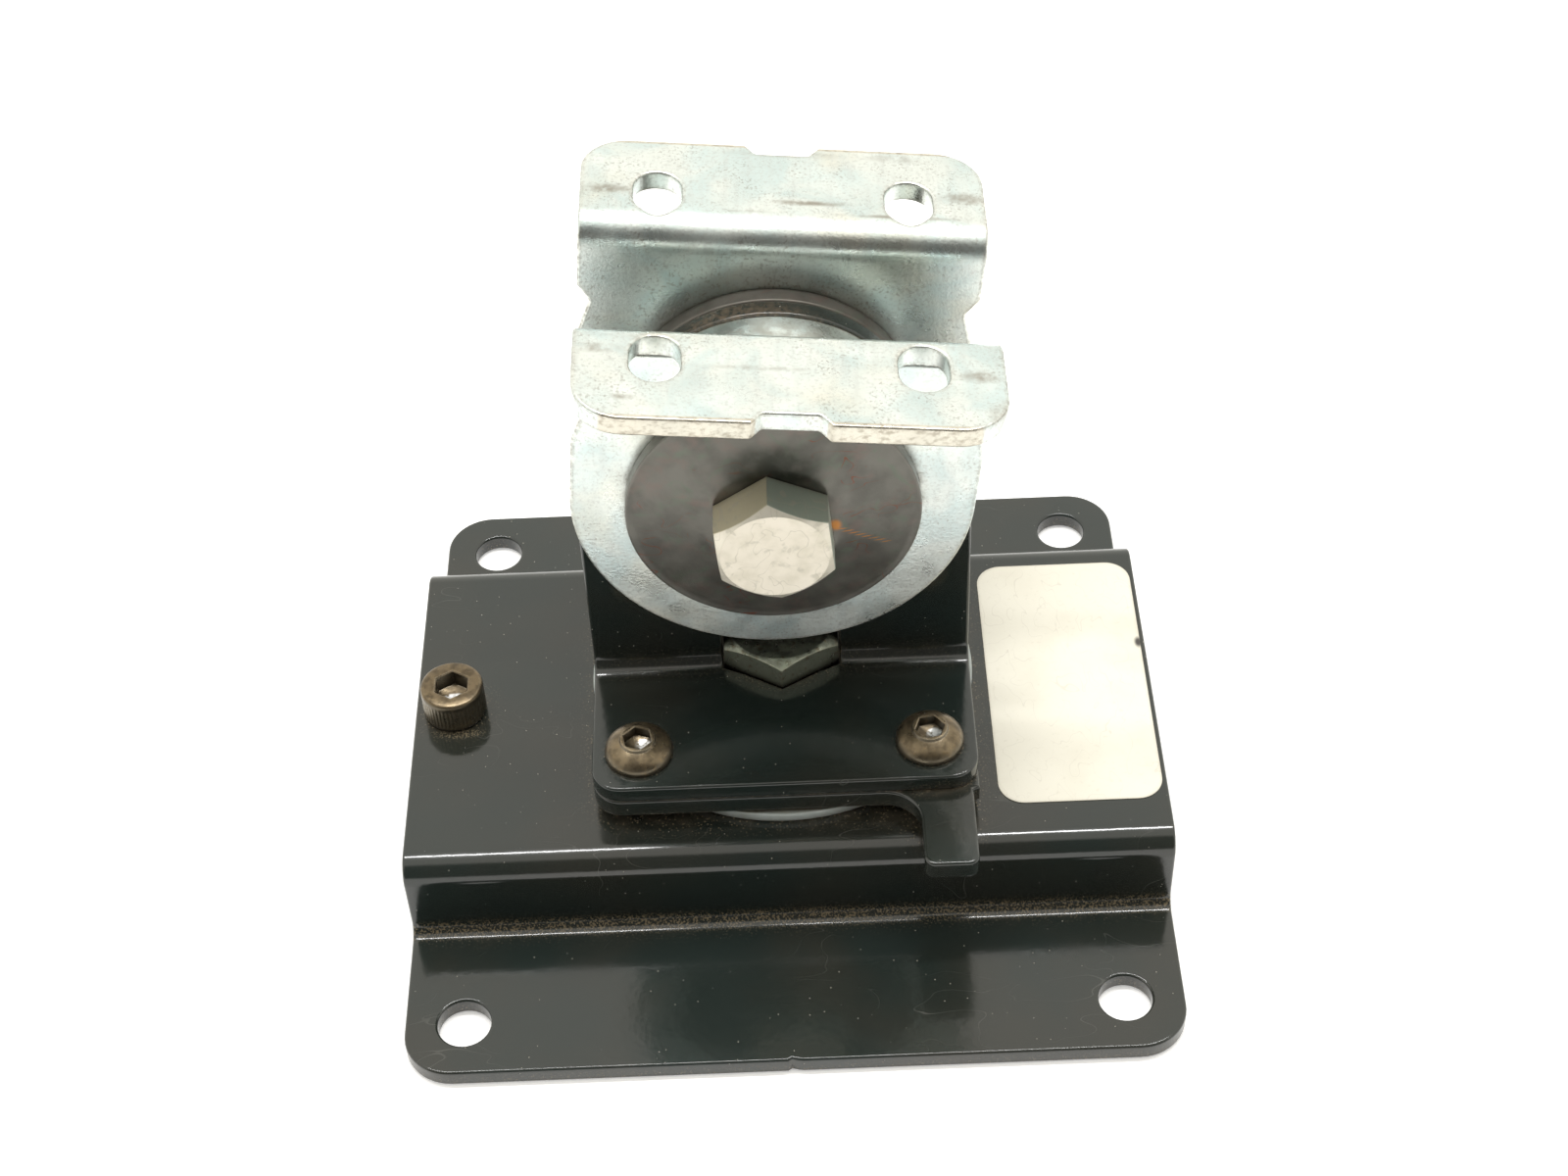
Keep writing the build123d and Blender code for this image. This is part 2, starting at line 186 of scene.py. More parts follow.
class Finish:
    """The finish of one kind of surface: its shader, and short names for the layers laid on it."""

    def __init__(self, name, **settings):
        self.material = bpy.data.materials.new(name)
        self.material.use_nodes = True
        self.tree = self.material.node_tree
        self.shader = self.tree.nodes["Principled BSDF"]
        self.place = self.tree.nodes.new("ShaderNodeTexCoord").outputs["Object"]
        for socket, value in settings.items():
            self.feed(self.shader, socket.replace("_", " "), value)

    def feed(self, node, socket, value):
        target = node.inputs[socket]
        if isinstance(value, bpy.types.NodeSocket):
            self.tree.links.new(value, target)
        elif target.type == "RGBA":
            target.default_value = (*value, 1)
        else:
            target.default_value = value

    def add(self, kind, feeds, **settings):
        node = self.tree.nodes.new("ShaderNode" + kind)
        for name, value in settings.items():
            setattr(node, name, value)
        for socket, value in feeds.items():
            self.feed(node, socket, value)
        return node

    def between(self, value, low, high):
        """0 at low, 1 at high, with a smooth slope."""
        return self.add("MapRange", {"Value": value, "From Min": low, "From Max": high},
                        interpolation_type="SMOOTHSTEP").outputs["Result"]

    def sum(self, kind, a, b):
        return self.add("Math", {0: a, 1: b}, operation=kind).outputs[0]

    def level(self, share, low, high):
        """A share from 0 to 1 as a number from low to high."""
        return self.add("MapRange", {"Value": share, "To Min": low,
                                     "To Max": high}).outputs["Result"]

    def scaled(self, size, stretch):
        return self.add("Mapping", {"Vector": self.place,
                                    "Scale": [1 / size / k for k in stretch]}).outputs[0]

    def grain(self, size, detail=3, stretch=(1, 1, 1), twist=0.0):
        """Even noise whose grains are about size across."""
        return self.add("TexNoise", {"Vector": self.scaled(size, stretch), "Scale": 1.0,
                                     "Detail": detail, "Distortion": twist}).outputs["Fac"]

    def clouds(self, size, low=0.4, high=0.65, detail=3, stretch=(1, 1, 1), twist=0.0):
        """Soft patches: 1 inside them, 0 between."""
        return self.between(self.grain(size, detail, stretch, twist), low, high)

    def hairs(self, size, width, stretch=(1, 1, 1), twist=0.6):
        """Long fine lines, like scratches."""
        signed = self.sum("SUBTRACT", self.grain(size, 1, stretch, twist), 0.5)
        return self.between(self.sum("ABSOLUTE", signed, 0), width, width * 0.3)

    def specks(self, pitch, size, share):
        """Small round specks, one in each chosen cell of a loose grid."""
        cells = self.add("TexVoronoi", {"Vector": self.scaled(pitch, (1, 1, 1)), "Scale": 1.0})
        pick = self.add("SeparateColor", {"Color": cells.outputs["Color"]}).outputs["Red"]
        return self.sum("MULTIPLY", self.between(cells.outputs["Distance"], size, size * 0.5),
                        self.between(pick, 1 - share, 1.001 - share))

    def spot(self, centre, size, core=0.3):
        """One mark: 1 in its middle, fading to 0 where it ends. size is half its length in
        each direction."""
        away = self.add("VectorMath", {0: self.place, 1: centre}, operation="SUBTRACT").outputs[0]
        away = self.add("VectorMath", {0: away, 1: [1 / s for s in size]},
                        operation="MULTIPLY").outputs[0]
        far = self.add("VectorMath", {0: away}, operation="LENGTH").outputs["Value"]
        return self.between(far, 1, core)

    def nooks(self, reach, low=0.8, high=0.35):
        """1 deep in corners and crevices, 0 in the open."""
        return self.between(self.add("AmbientOcclusion", {"Distance": reach}, samples=6)
                            .outputs["AO"], low, high)

    def facing(self, way, low, high):
        """1 where the surface faces one way, 0 where it faces another."""
        normal = self.add("TexCoord", {}).outputs["Normal"]
        match = self.add("VectorMath", {0: normal, 1: way}, operation="DOT_PRODUCT")
        return self.between(match.outputs["Value"], low, high)

    def edges(self, width, low=0.02, high=0.25):
        """1 on sharp edges, 0 on flats."""
        soft = self.add("Bevel", {"Radius": width}, samples=4).outputs[0]
        true = self.add("NewGeometry", {}).outputs["True Normal"]
        match = self.add("VectorMath", {0: soft, 1: true}, operation="DOT_PRODUCT")
        return self.between(self.sum("SUBTRACT", 1.0, match.outputs["Value"]), low, high)

    def over(self, ground, layer, amount):
        """One colour laid over another. Sockets 6 and 7 take a mix's two colours."""
        return self.add("Mix", {0: amount, 6: ground, 7: layer}, data_type="RGBA").outputs[2]

    def worn(self, amount, share):
        """Part of an amount."""
        return self.sum("MULTIPLY", amount, share)

    def relief(self, height, depth, under=None):
        """Bumps as deep as depth, over those that are there already."""
        feeds = {"Height": height, "Distance": depth, "Strength": 1.0}
        if under is not None:
            feeds["Normal"] = under
        return self.add("Bump", feeds).outputs[0]

    def done(self, colour, roughness, relief=None, metal=None):
        self.feed(self.shader, "Base Color", colour)
        self.feed(self.shader, "Roughness", roughness)
        if relief is not None:
            self.feed(self.shader, "Normal", relief)
        if metal is not None:
            self.feed(self.shader, "Metallic", metal)
        return self.material


soot = (0.0125, 0.0185, 0.0165)
worn_black = (0.0190, 0.0205, 0.0165)
brown_dust = (0.085, 0.066, 0.042)
pale_dust = (0.46, 0.43, 0.36)
packed_grit = (0.20, 0.165, 0.11)
loose_grit = (0.20, 0.16, 0.10)
washer_film = (0.115, 0.083, 0.055)
hairline_grey = (0.12, 0.12, 0.11)
edge_wear_and_highlight = (0.16, 0.16, 0.15)


def powder_coat(name, dusty, edge_wear_and_highlight_share, rubbed=(), gritty=()):
    """Semi-gloss black powder coat: orange peel, hairlines, dust in the corners and on top.
    rubbed lists the places (centre, half size) with a brown film from the washers, and gritty
    those where loose grit lies."""
    coat = Finish(name, IOR=1.60)
    colour = coat.over(soot, worn_black, coat.clouds(0.022, 0.35, 0.7))
    lint = coat.specks(0.0012, 0.085, 0.35)
    lint_places = coat.clouds(0.016, 0.34, 0.58, 4)
    corner = coat.nooks(0.006, 0.80, 0.40)
    grit = coat.sum("MULTIPLY", coat.specks(0.0005, 0.38, 0.7), corner)
    film = coat.worn(coat.sum("MULTIPLY", corner, coat.clouds(0.0035, 0.3, 0.6, 5)), dusty)
    hair = coat.worn(coat.hairs(0.011, 0.004, (1, 0.5, 1)), 0.35)
    hair = coat.sum("MULTIPLY", hair, coat.clouds(0.02, 0.5, 0.7))
    # Pale grey along sharp edges: partly real wear of the coat, partly a painted highlight along the edges.
    rim = coat.sum("MULTIPLY", coat.edges(0.0007), coat.clouds(0.0022, 0.42, 0.62, 4))
    colour = coat.over(colour, brown_dust, film)
    colour = coat.over(colour, packed_grit, coat.worn(grit, 0.9))
    for centre, size in gritty:
        strewn = coat.sum("MULTIPLY", coat.spot(centre, size, 0.25),
                          coat.clouds(0.0003, 0.50, 0.60, 2))
        colour = coat.over(colour, loose_grit, coat.worn(strewn, 0.85))
    for centre, size in rubbed:
        rub = coat.sum("MULTIPLY", coat.spot(centre, size, 0.4),
                       coat.clouds(0.0007, 0.25, 0.75, 5))
        colour = coat.over(colour, washer_film, coat.worn(rub, 0.85))
    colour = coat.over(colour, pale_dust, coat.worn(coat.sum("MULTIPLY", lint, lint_places), 0.9))
    colour = coat.over(colour, hairline_grey, hair)
    colour = coat.over(colour, edge_wear_and_highlight, coat.worn(rim, edge_wear_and_highlight_share))
    rough = coat.level(coat.clouds(0.012, 0.3, 0.75, 5), 0.11, 0.17)
    rough = coat.sum("ADD", rough, coat.worn(film, 0.5))
    rough = coat.sum("ADD", rough, coat.worn(lint, 0.3))
    skin = coat.relief(coat.grain(0.0013, 1), 0.000012)
    skin = coat.relief(coat.sum("MULTIPLY", lint, lint_places), 0.00004, skin)
    return coat.done(colour, rough, skin)


plate_low, plate_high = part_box("base_plate")
plate_half = plate_high.x
plate_sheet = 0.003
plate_corner_r = 0.0075
wall_out = 0.0325
coated_ease = 0.00045
pivot_hole_d, stop_hole_d = 0.0122, 0.0065
ridge_top = plate_high.z
foot_bend_r = 0.0021 + plate_sheet / 2
crown_bend_r = 0.0040 - plate_sheet / 2
wall_hole = frame["record"]["mounts"][0]["dims"]
hole_d = 2 * wall_hole["hole_r_mm"] / 1000
hole_out = wall_hole["spacing_x_mm"] / 2000
wall_mid = wall_out - plate_sheet / 2
plate_runs = [
    (plate_half - wall_mid - foot_bend_r, 0),
    (foot_bend_r * pi / 2, pi / 2),
    (ridge_top - plate_sheet - foot_bend_r - crown_bend_r, 0),
    (crown_bend_r * pi / 2, -pi / 2),
    (2 * (wall_mid - crown_bend_r), 0),
]
plate_runs += plate_runs[3::-1]
plate_length = sum(length for length, turn in plate_runs)
pivot_at = (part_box("pivot_bolt")[0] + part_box("pivot_bolt")[1]) / 2
stop_at = (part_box("stop_screw")[0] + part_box("stop_screw")[1]) / 2
nick = 0.0004
plate_outline = rounded([
    (-plate_half, 0, plate_corner_r), (-0.0012, 0, 0), (-0.0006, nick, 0), (0.0003, nick * 0.3, 0),
    (0.0011, 0, 0), (plate_half, 0, plate_corner_r),
    (plate_half, plate_length, plate_corner_r), (-plate_half, plate_length, plate_corner_r)], 7)
plate_holes = [round_hole(x, y, hole_d) for x in (-hole_out, hole_out)
               for y in (plate_half - hole_out, plate_length - plate_half + hole_out)]
plate_holes.append(round_hole(0, plate_length / 2 + pivot_at.y, pivot_hole_d))
plate_holes.append(round_hole(stop_at.x, plate_length / 2, stop_hole_d))
plate_form = fold(cut_blank(plate_outline, plate_holes, plate_sheet, coated_ease), plate_sheet,
                  (-plate_half, plate_sheet / 2), (1, 0), plate_runs)
step_foot = wall_out + 0.0004
strewn_at = [((0, y, plate_sheet + 0.0006), (0.30, 0.0022, 0.0021))
             for y in (-step_foot, step_foot)]
strewn_at.append(((stop_at.x + 0.001, stop_at.y - 0.0052, ridge_top), (0.0050, 0.0014, 0.001)))
pressing = made_of("base_pressing", plate_form,
                   powder_coat("black_coat_plate", 0.35, 0.25, gritty=strewn_at))
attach(pressing, "base")
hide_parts("base_plate")

# ---- Blank label ---------------------------------------------------------
# A paper-faced vinyl sticker at the right-hand end of the ridge. It is
# blank, a little yellowed, and scuffed and chipped along its outer edge.
label_low, label_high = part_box("label")
label_r = 0.004
label_corners = [(label_low.x, label_low.y), (label_high.x, label_low.y),
                 (label_high.x, label_high.y), (label_low.x, label_high.y)]
label_form = cut_blank(rounded([(x, y, label_r) for x, y in label_corners]), [],
                       label_high.z - label_low.z, 0.00004)
fresh_paper, yellowed = (0.735, 0.715, 0.625), (0.67, 0.645, 0.55)
foxed, grubby = (0.58, 0.555, 0.47), (0.40, 0.36, 0.28)
torn, scuffed = (0.05, 0.045, 0.04), (0.45, 0.42, 0.36)
vinyl = Finish("label_film", IOR=1.45)
chip = vinyl.spot((label_high.x - 0.0003, label_low.y + 0.0325, label_low.z),
                  (0.0009, 0.0016, 0.001))
paper = vinyl.over(fresh_paper, yellowed, vinyl.clouds(0.012, 0.45, 0.8, 4))
paper = vinyl.over(paper, foxed, vinyl.worn(vinyl.clouds(0.0009, 0.58, 0.75, 5), 0.35))
paper = vinyl.over(paper, grubby, vinyl.worn(vinyl.edges(0.0008), 0.5))
paper = vinyl.over(paper, torn, chip)
scuff = vinyl.worn(vinyl.hairs(0.006, 0.006, (0.6, 1, 1)), 0.30)
paper = vinyl.over(paper, scuffed, scuff)
sticker = made_of("blank_label", label_form,
                  vinyl.done(paper, vinyl.level(vinyl.grain(0.004, 4), 0.38, 0.62),
                             vinyl.relief(vinyl.grain(0.0016, 3), 0.00003)),
                  Matrix.Translation((0, 0, label_low.z)))
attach(sticker, "base")
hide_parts("label")


# ---- Stop screw and its nut ----------------------------------------------
# An M6 socket cap screw of blackened steel, screwed through the left-hand
# end of the ridge into a plated nut. Its knurled head stops the swivel leg.
def spun(rows, steps, place=Matrix()):
    """Builds a form from rows of points round Z. A row is (radius, z), or a rule that gives both
    for an angle. Rows that start and end at radius 0 close the form; others close on themselves."""
    form = bmesh.new()
    angles = [2 * pi * k / steps for k in range(steps)]
    rings = []
    for row in rows:
        spots = [row(a) if callable(row) else row for a in angles]
        if max(r for r, z in spots) == 0:
            rings.append([form.verts.new((0, 0, spots[0][1]))] * steps)
        else:
            rings.append([form.verts.new((r * cos(a), r * sin(a), z))
                          for a, (r, z) in zip(angles, spots)])
    open_ended = rings[0][0] is not rings[0][1]
    for low, high in zip(rings, rings[1:] + rings[:1] if open_ended else rings[1:]):
        for k in range(steps):
            corners = list(dict.fromkeys((low[k - 1], low[k], high[k], high[k - 1])))
            if len(corners) > 2:
                form.faces.new(corners)
    form.transform(place)
    return form


def hex_reach(flat_r, a):
    """How far a hexagon with a corner towards -Y reaches at an angle."""
    return flat_r / cos((a + pi / 6) % (pi / 3) - pi / 6)


def six_sided(flats, z, shrink=0.0):
    """A row of a spun form that follows a hexagon."""
    return lambda a: (hex_reach(flats / 2 - shrink, a), z)


def with_socket(top, flats, depth):
    """Rows of a key socket, from the rim of the hole to the cone at its bottom."""
    ease = flats * 0.03
    floor_z = top - depth
    return [six_sided(flats, top, -ease), six_sided(flats, top - ease), six_sided(flats, floor_z),
            (flats * 0.42, floor_z - flats * 0.04), (0, floor_z - flats * 0.16)]


def screw_thread(d, pitch, low, high, steps):
    """Rows of an outside thread between two heights, fading out at both ends."""
    rows = []
    count = max(2, ceil((high - low) / pitch * 8))
    for k in range(count + 1):
        z = low + (high - low) * k / count

        def row(a, z=z):
            phase = (z / pitch - a / (2 * pi)) % 1
            cut = pitch * 0.54 * min(1.0, max(0.0, 2.1 - abs(4 * phase - 2) * 1.05))
            lead = min(z - low, high - z)
            return d / 2 - cut * min(1.0, lead / (pitch * 0.6)), z
        rows.append(row)
    return rows


oxide_rubbed, oxide_edge = (0.20, 0.15, 0.085), (0.42, 0.37, 0.28)
painted_socket_shade, bright_steel = (0.028, 0.024, 0.018), (0.85, 0.86, 0.86)


def black_oxide(name, warm, side, bare=()):
    """Worn, oily black oxide: olive-brown on top, and the side colour on the sides, which is a painted shade that
    makes them darker than the top.
    bare lists the places (centre, half size) where the steel shows bright."""
    oxide = Finish(name, IOR=1.6)
    colour = oxide.over(warm, [c * 0.55 for c in warm], oxide.clouds(0.0016, 0.4, 0.65, 4))
    # Painted shade: faces that do not look up take the darker side colour.
    colour = oxide.over(side, colour, oxide.facing((0, 0, 1), 0.35, 0.75))
    colour = oxide.over(colour, oxide_rubbed, oxide.worn(oxide.clouds(0.0009, 0.55, 0.7, 5), 0.6))
    colour = oxide.over(colour, oxide_edge, oxide.worn(oxide.edges(0.0005), 0.75))
    # Painted shade: darker in the key sockets and in the corners under the heads.
    colour = oxide.over(colour, painted_socket_shade, oxide.nooks(0.0022, 0.75, 0.3))
    for centre, size in bare:
        shine = oxide.sum("MULTIPLY", oxide.spot(centre, size, 0.75),
                          oxide.clouds(0.0009, 0.3, 0.5, 2))
        colour = oxide.over(colour, bright_steel, shine)
    rough = oxide.level(oxide.clouds(0.0012, 0.3, 0.7, 4), 0.26, 0.40)
    skin = oxide.relief(oxide.grain(0.00045, 3), 0.000018)
    return oxide.done(colour, rough, skin, 0.85)


stop_low, stop_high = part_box("stop_screw")
stop_head_r = (stop_high.x - stop_low.x) / 2
stop_head_h = stop_high.z - ridge_top
stop_d, stop_pitch = 0.006, 0.001
stop_end = stop_low.z - ridge_top
stop_key, stop_key_deep = 0.005, 0.003
teeth, tooth_deep = 48, 0.00016


def knurled(z, depth):
    """A row of the straight knurl round the head."""
    return lambda a: (stop_head_r - depth * (0.5 - 0.5 * cos(teeth * a)), z)


stop_form = spun(
    [(0, stop_end), (0.0021, stop_end), (0.0025, stop_end + 0.0004)]
    + screw_thread(stop_d, stop_pitch, stop_end + 0.0005, -0.0008, 192)
    + [(stop_d / 2, 0), (stop_head_r - 0.0005, 0), (stop_head_r - 0.0002, 0.00018),
       knurled(0.0007, 0.0), knurled(0.0011, tooth_deep), knurled(stop_head_h - 0.0015, tooth_deep),
       knurled(stop_head_h - 0.0011, 0.0), (stop_head_r, stop_head_h - 0.00055),
       (stop_head_r - 0.00012, stop_head_h - 0.00022), (stop_head_r - 0.00042, stop_head_h)]
    + with_socket(stop_head_h, stop_key, stop_key_deep), 192)
stop_bottom = (stop_at.x + 0.0002, stop_at.y - 0.0006, stop_high.z - 0.0034)
stop_finish = black_oxide("stop_screw_oxide", (0.150, 0.114, 0.068), (0.115, 0.098, 0.068),
                          [(stop_bottom, (0.0024, 0.0019, 0.0012))])
stop = made_of("stop_cap_screw", stop_form, stop_finish,
               Matrix.Translation((stop_at.x, stop_at.y, ridge_top)), 40)
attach(stop, "base")
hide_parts("stop_screw")


chamfer_slope = 0.577


def hex_nut(flats, height, bore, steps=96):
    """A nut standing on z = 0, its corners trimmed top and bottom, with a countersunk bore."""
    crown = flats * 0.475

    def trimmed(low, drop):
        def row(a):
            radius = hex_reach(flats / 2, a)
            fall = (radius - crown) * chamfer_slope + drop
            return radius, fall if low else height - fall
        return row
    return spun([(bore / 2 + 0.0004, 0), (crown, 0), trimmed(True, 0), trimmed(False, 0),
                 (crown, height), (bore / 2 + 0.0004, height), (bore / 2, height - 0.0005),
                 (bore / 2, 0.0005)], steps)


zinc_white, zinc_blue = (0.725, 0.768, 0.738), (0.580, 0.678, 0.675)
zinc_straw = (0.735, 0.690, 0.560)
zinc_speckle, zinc_drawn, zinc_rim = (0.47, 0.49, 0.47), (0.55, 0.58, 0.565), (0.62, 0.58, 0.49)
bitten_rim, pitted, sheared_steel = (0.27, 0.24, 0.20), (0.28, 0.26, 0.225), (0.60, 0.555, 0.46)
nicked, rubbed_and_shaded_zinc, grime_and_shade_brown = (0.24, 0.205, 0.155), (0.33, 0.315, 0.275), (0.20, 0.165, 0.115)


def zinc_plating(name, marks=(), streaks=1.0, sheared=None):
    """Clear zinc plating: satin, mottled blue and straw, streaked by drawing, pitted at cut edges.
    marks lists marks as (centre, half size, strength): rub marks, and on the spacer painted shade. sheared is the
    Y of a bare cut edge."""
    zinc = Finish(name, Metallic=1.0)
    colour = zinc.over(zinc_white, zinc_blue, zinc.clouds(0.009, 0.35, 0.7, 4, twist=0.8))
    colour = zinc.over(colour, zinc_straw, zinc.worn(zinc.clouds(0.013, 0.5, 0.75, 4), 0.45))
    colour = zinc.over(colour, zinc_speckle, zinc.worn(zinc.clouds(0.0005, 0.50, 0.68, 4), 0.40))
    drawn = zinc.clouds(0.0011, 0.45, 0.75, 4, (1, 9, 9))
    colour = zinc.over(colour, zinc_drawn, zinc.worn(drawn, 0.30 * streaks))
    pits = zinc.sum("MULTIPLY", zinc.clouds(0.00045, 0.54, 0.68, 3),
                    zinc.clouds(0.006, 0.40, 0.62, 3))
    rim = zinc.edges(0.0012, 0.010, 0.10)
    dark = zinc.sum("MULTIPLY", rim, zinc.clouds(0.0008, 0.42, 0.58, 5))
    colour = zinc.over(colour, zinc_rim, zinc.worn(rim, 0.45))
    colour = zinc.over(colour, bitten_rim, zinc.worn(dark, 0.80))
    colour = zinc.over(colour, pitted, zinc.worn(pits, 0.50))
    if sheared is not None:
        cut = zinc.spot((0, sheared, 0.09), (0.2, 0.0009, 0.2), 0.7)
        colour = zinc.over(colour, sheared_steel, zinc.worn(cut, 0.75))
        nicks = zinc.sum("MULTIPLY", cut, zinc.clouds(0.0007, 0.44, 0.72, 5, (1.6, 1, 1)))
        colour = zinc.over(colour, nicked, zinc.worn(nicks, 0.60))
    # Rub marks, and on the spacer a patch of painted shade, all in one grey.
    for centre, size, strength in marks:
        rub = zinc.sum("MULTIPLY", zinc.spot(centre, size, 0.1),
                       zinc.clouds(0.0021, 0.30, 0.62, 5))
        colour = zinc.over(colour, rubbed_and_shaded_zinc, zinc.worn(rub, strength))
    # Darker in corners and crevices, in patches: partly grime, partly painted shade.
    grime_and_shade = zinc.sum("MULTIPLY", zinc.nooks(0.004, 0.72, 0.3), zinc.clouds(0.003, 0.3, 0.65, 4))
    colour = zinc.over(colour, grime_and_shade_brown, zinc.worn(grime_and_shade, 0.8))
    rough = zinc.level(zinc.clouds(0.007, 0.3, 0.75, 5), 0.25, 0.38)
    rough = zinc.sum("ADD", rough, zinc.worn(dark, 0.3))
    rough = zinc.sum("ADD", rough, zinc.worn(grime_and_shade, 0.35))
    skin = zinc.relief(zinc.grain(0.0004, 4), 0.000026)
    skin = zinc.relief(zinc.grain(0.0011, 2, (1, 9, 9)), 0.000012, skin)
    return zinc.done(colour, rough, skin)


nut_low, nut_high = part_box("stop_nut")
stop_nut = made_of("stop_hex_nut", hex_nut(0.010, nut_high.z - nut_low.z, 0.0061),
                   zinc_plating("stop_nut_zinc"),
                   Matrix.Translation((stop_at.x, stop_at.y, nut_low.z)))
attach(stop_nut, "base")
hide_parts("stop_nut")


# ---- Swivel washers ------------------------------------------------------
# The swivel turns on a pale low-friction washer on top of the ridge, and on
# a smaller one under it. A thin hard shim lies between washer and leg plate.
def washer_form(node, bore, ease, play=0.0):
    """A flat washer as wide as its CAD node and thinner by the play, with eased edges, on z = 0."""
    low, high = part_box(node)
    sizes = sorted(high - low)
    outer, thick = sizes[2] / 2, sizes[0] - play
    return spun(rounded([(bore / 2, 0, ease), (outer, 0, ease), (outer, thick, ease),
                         (bore / 2, thick, ease)], 30), 160)


def on_pivot(node):
    """The place of a turned piece on the swivel axis."""
    return Matrix.Translation((pivot_at.x, pivot_at.y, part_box(node)[0].z))


def pale_plastic(name):
    """Milky low-friction plastic, greyed by use, with painted shade darkening its corners."""
    plastic = Finish(name, IOR=1.46, Subsurface_Weight=0.05)
    milky, greyed, plastic_corner_shade = (0.40, 0.43, 0.42), (0.30, 0.32, 0.30), (0.10, 0.085, 0.06)
    tone = plastic.over(milky, greyed, plastic.clouds(0.006, 0.4, 0.7, 4))
    # Painted shade in the corners.
    tone = plastic.over(tone, plastic_corner_shade, plastic.nooks(0.002, 0.7, 0.3))
    return plastic.done(tone, plastic.level(plastic.grain(0.003, 4), 0.35, 0.55),
                        plastic.relief(plastic.grain(0.0006, 3), 0.00001))


upper = made_of("upper_slide_washer", washer_form("swivel_washer_upper", 0.0122, 0.0003),
                pale_plastic("slide_washer_plastic"), on_pivot("swivel_washer_upper"))
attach(upper, "base")
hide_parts("swivel_washer_upper")
lower = made_of("lower_slide_washer", washer_form("swivel_washer_lower", 0.0125, 0.0003),
                upper.data.materials[0], on_pivot("swivel_washer_lower"))
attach(lower, "swivel")
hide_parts("swivel_washer_lower")


red_rust, fresh_rust = (0.16, 0.055, 0.032), (0.40, 0.17, 0.045)
bare_edge, painted_shade_dark = (0.40, 0.38, 0.35), (0.040, 0.042, 0.034)


def dark_steel(name, tone, rust, marks=(), dull=0.42, shade_patches=()):
    """Dark oiled steel with brown, green and violet tints. marks lists rust as (centre, size), and the last
    argument lists patches of painted shade in the same way."""
    steel = Finish(name)
    colour = steel.over(tone, [c * 0.72 for c in tone], steel.clouds(0.005, 0.35, 0.68, 5))
    colour = steel.over(colour, (tone[0] * 1.12, tone[1] * 0.90, tone[2] * 0.90),
                        steel.worn(steel.clouds(0.0032, 0.5, 0.72, 4), 0.6))
    colour = steel.over(colour, (tone[0] * 0.8, tone[1] * 1.08, tone[2] * 0.9),
                        steel.worn(steel.clouds(0.0041, 0.52, 0.74, 3, twist=1.5), 0.5))
    red = steel.sum("MULTIPLY", steel.hairs(0.0065, 0.010, (1, 1, 0.5)),
                    steel.clouds(0.005, 0.5, 0.62, 3))
    colour = steel.over(colour, red_rust, steel.worn(red, rust))
    colour = steel.over(colour, bare_edge, steel.worn(steel.edges(0.0006), 0.45))
    # Patches of painted shade.
    for centre, size in shade_patches:
        patch = steel.sum("MULTIPLY", steel.spot(centre, size, 0.45),
                          steel.level(steel.clouds(0.0026, 0.3, 0.6, 4), 0.65, 0.95))
        colour = steel.over(colour, painted_shade_dark, patch)
    for centre, size in marks:
        bloom = steel.sum("MULTIPLY", steel.spot(centre, size, 0.35),
                          steel.clouds(0.0011, 0.2, 0.5, 4))
        colour = steel.over(colour, fresh_rust, bloom)
    rough = steel.level(steel.clouds(0.004, 0.3, 0.7, 4), dull, dull * 1.4)
    return steel.done(colour, rough, steel.relief(steel.grain(0.0007, 4), 0.00002), 0.75)


shim = frame["nodes"]["swivel_shim"]
shim.material_slots[0].material = dark_steel("shim_steel", (0.11, 0.10, 0.09), 0.2)

# ---- Leg plate -----------------------------------------------------------
# A flat plate of 3.4 mm steel under both yoke feet, powder coated black. Its
# leg reaches over the front of the ridge, and swings against the stop screw.
leg_low, leg_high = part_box("stop_plate")
leg_sheet = leg_high.z - leg_low.z
leg_half = leg_high.x
leg_plate_deep, leg_inset, leg_wide = 0.060, 0.001, 0.0082
leg_root_r, leg_tip_r = 0.0055, 0.0016
tapped_d, pivot_clear_d = 0.0061, 0.0125
leg_front, leg_rear, leg_tip = leg_high.y - leg_plate_deep, leg_high.y, leg_low.y
leg_out = leg_half - leg_inset
leg_in = leg_out - leg_wide
corner_r = 0.0045
screw_x, screw_in = 0.0223, 0.0074
screw_ys = (leg_front + screw_in, leg_rear - screw_in)
leg_outline = rounded([
    (-leg_half, leg_front, corner_r), (leg_in, leg_front, leg_root_r),
    (leg_in, leg_tip, leg_tip_r), (leg_out, leg_tip, leg_tip_r),
    (leg_out, leg_front, 0), (leg_half, leg_front + 0.0004, 0.0002),
    (leg_half, leg_rear, corner_r), (-leg_half, leg_rear, corner_r)])
leg_holes = [round_hole(x, y, tapped_d) for x in (-screw_x, screw_x) for y in screw_ys]
leg_holes.append(round_hole(0, pivot_at.y, pivot_clear_d))
leg_plate = made_of("leg_plate", cut_blank(leg_outline, leg_holes, leg_sheet, coated_ease),
                    powder_coat("black_coat_leg", 0.8, 0.7), Matrix.Translation((0, 0, leg_low.z)))
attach(leg_plate, "swivel")
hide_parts("stop_plate")


